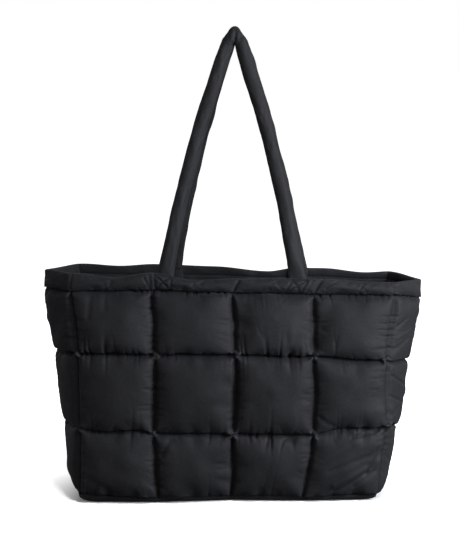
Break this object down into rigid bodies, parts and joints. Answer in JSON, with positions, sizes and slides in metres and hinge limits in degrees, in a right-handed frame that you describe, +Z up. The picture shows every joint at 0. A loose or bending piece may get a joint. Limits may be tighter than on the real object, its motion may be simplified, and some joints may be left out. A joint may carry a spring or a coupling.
{
  "type": "quilted tote bag",
  "caption": "Large black puffer tote bag, quilted in squares, with a padded hem and two long padded tube handles held upright.",
  "frame": {"origin": "on the floor under the middle of the bag's outline, as it stands on its base", "axes": "+Z up, +X to the right seen from the front, front towards -Y"},
  "size_m": [0.4768, 0.1756, 0.577],
  "materials": {
    "shell_fabric": "soft satin nylon taffeta",
    "hem_fabric": "soft satin nylon taffeta",
    "handle_fabric": "soft satin nylon taffeta",
    "thread": "matt sewing thread"
  },
  "bodies": {
    "root": {"front_panel": "shell_fabric", "back_panel": "shell_fabric", "base_panel": "shell_fabric", "front_band": "hem_fabric", "back_band": "hem_fabric", "front_handle": "handle_fabric", "back_handle": "handle_fabric"}
  },
  "joints": []
}
